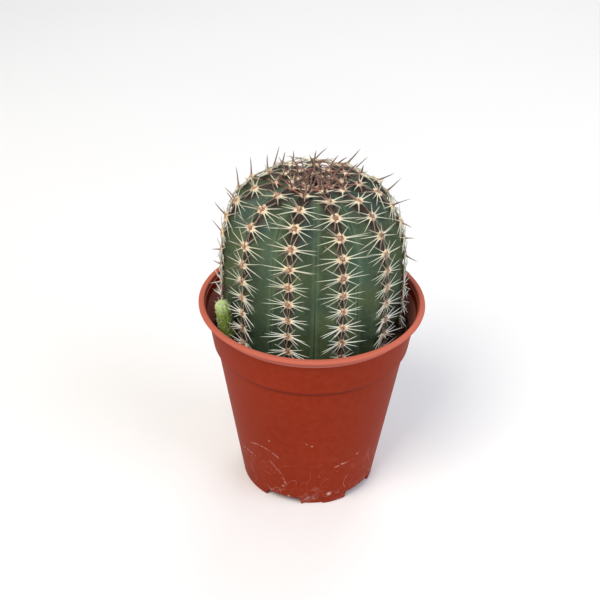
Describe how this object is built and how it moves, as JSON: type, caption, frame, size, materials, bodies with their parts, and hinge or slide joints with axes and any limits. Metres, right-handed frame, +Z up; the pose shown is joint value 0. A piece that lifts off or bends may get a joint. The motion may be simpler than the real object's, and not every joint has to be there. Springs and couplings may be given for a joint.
{
  "type": "potted lobivia aurea hybrid cactus",
  "caption": "Small ribbed cactus with spiny areoles, standing in soil in a tapered nursery pot, with a side shoot at its foot.",
  "frame": {"origin": "centre of the pot's base, level with the underside of its feet", "axes": "+Z up the pot and the plant; the side that shows the side shoot at its left faces -Y"},
  "size_m": [0.065, 0.065, 0.1057],
  "materials": {
    "pot_plastic": "satin",
    "potting_mix": "matte",
    "cactus_skin": "satin",
    "young_skin": "matte"
  },
  "bodies": {
    "root": {"pot": "pot_plastic", "soil": "potting_mix", "stem": "cactus_skin", "offset_shoot": "young_skin"}
  },
  "joints": []
}
